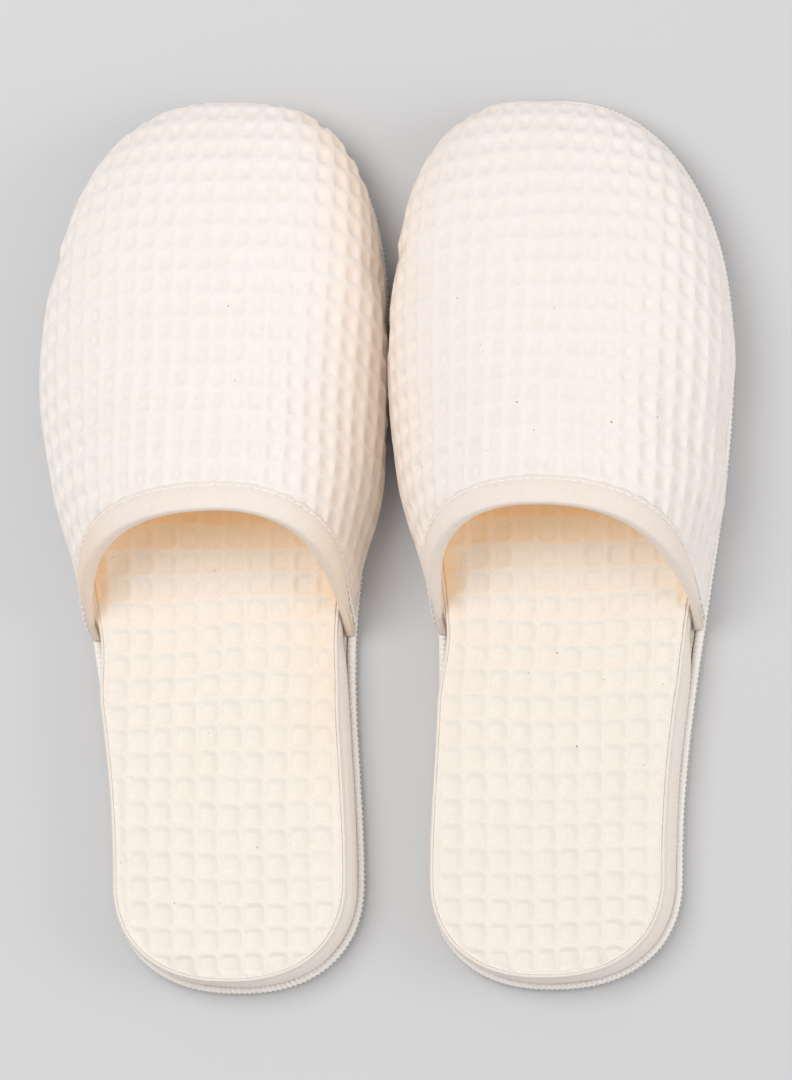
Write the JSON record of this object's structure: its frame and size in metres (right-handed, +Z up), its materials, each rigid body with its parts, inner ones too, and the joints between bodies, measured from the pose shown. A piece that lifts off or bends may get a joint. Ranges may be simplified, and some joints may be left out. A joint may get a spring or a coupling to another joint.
{
  "type": "spa slippers",
  "caption": "Pair of closed-toe spa slippers: padded waffle-cotton uppers with a bound throat on flat, layered, overlocked soles.",
  "frame": {"origin": "on the floor, at the middle of the pair's bounding box", "axes": "+X to the wearer's right, +Y from the heels to the toes, +Z up"},
  "size_m": [0.2258, 0.2912, 0.061],
  "materials": {
    "upper_waffle": "matt waffle-weave cotton",
    "insole_waffle": "matt waffle-weave cotton",
    "binding_tape": "smooth cotton bias tape",
    "side_tape": "smooth cotton tape",
    "edge_tape": "cotton-covered edge, overlocked",
    "lining": "plain-weave cotton",
    "interlining": "soft non-woven wadding",
    "thread": "spun sewing thread",
    "foam": "open-cell foam",
    "board": "stiff foamed sheet",
    "outsole": "matt foamed sheet with small grip dots"
  },
  "bodies": {
    "left_forefoot": {"left_upper_shell": "upper_waffle", "left_upper_interlining": "interlining", "left_upper_lining": "lining", "left_throat_binding": "binding_tape", "left_throat_stitch": "thread", "left_insole_cover_fore": "insole_waffle", "left_insole_foam_fore": "foam", "left_side_band_fore": "side_tape", "left_insole_stitch_fore": "thread", "left_midsole_board_fore": "board", "left_edge_welt_fore": "edge_tape", "left_edge_stitch_fore": "thread", "left_outsole_fore": "outsole"},
    "left_heel": {"left_insole_cover_heel": "insole_waffle", "left_insole_foam_heel": "foam", "left_side_band_heel": "side_tape", "left_insole_stitch_heel": "thread", "left_midsole_board_heel": "board", "left_edge_welt_heel": "edge_tape", "left_edge_stitch_heel": "thread", "left_outsole_heel": "outsole"},
    "right_forefoot": {"right_upper_shell": "upper_waffle", "right_upper_interlining": "interlining", "right_upper_lining": "lining", "right_throat_binding": "binding_tape", "right_throat_stitch": "thread", "right_insole_cover_fore": "insole_waffle", "right_insole_foam_fore": "foam", "right_side_band_fore": "side_tape", "right_insole_stitch_fore": "thread", "right_midsole_board_fore": "board", "right_edge_welt_fore": "edge_tape", "right_edge_stitch_fore": "thread", "right_outsole_fore": "outsole"},
    "right_heel": {"right_insole_cover_heel": "insole_waffle", "right_insole_foam_heel": "foam", "right_side_band_heel": "side_tape", "right_insole_stitch_heel": "thread", "right_midsole_board_heel": "board", "right_edge_welt_heel": "edge_tape", "right_edge_stitch_heel": "thread", "right_outsole_heel": "outsole"}
  },
  "joints": [
    {"name": "left_sole_flex", "type": "hinge", "parent": "left_forefoot", "child": "left_heel", "pos_m": [-0.0513, -0.047, 0.0166], "axis": [-1, 0, 0], "range_deg": [0, 50], "stiffness_Nm_per_rad": 0.25},
    {"name": "pair_spread", "type": "slide", "parent": "left_forefoot", "child": "right_forefoot", "axis": [1, 0, 0], "range_m": [0, 0.15]},
    {"name": "right_sole_flex", "type": "hinge", "parent": "right_forefoot", "child": "right_heel", "pos_m": [0.0513, -0.047, 0.0166], "axis": [-1, 0, 0], "range_deg": [0, 50], "stiffness_Nm_per_rad": 0.25}
  ]
}
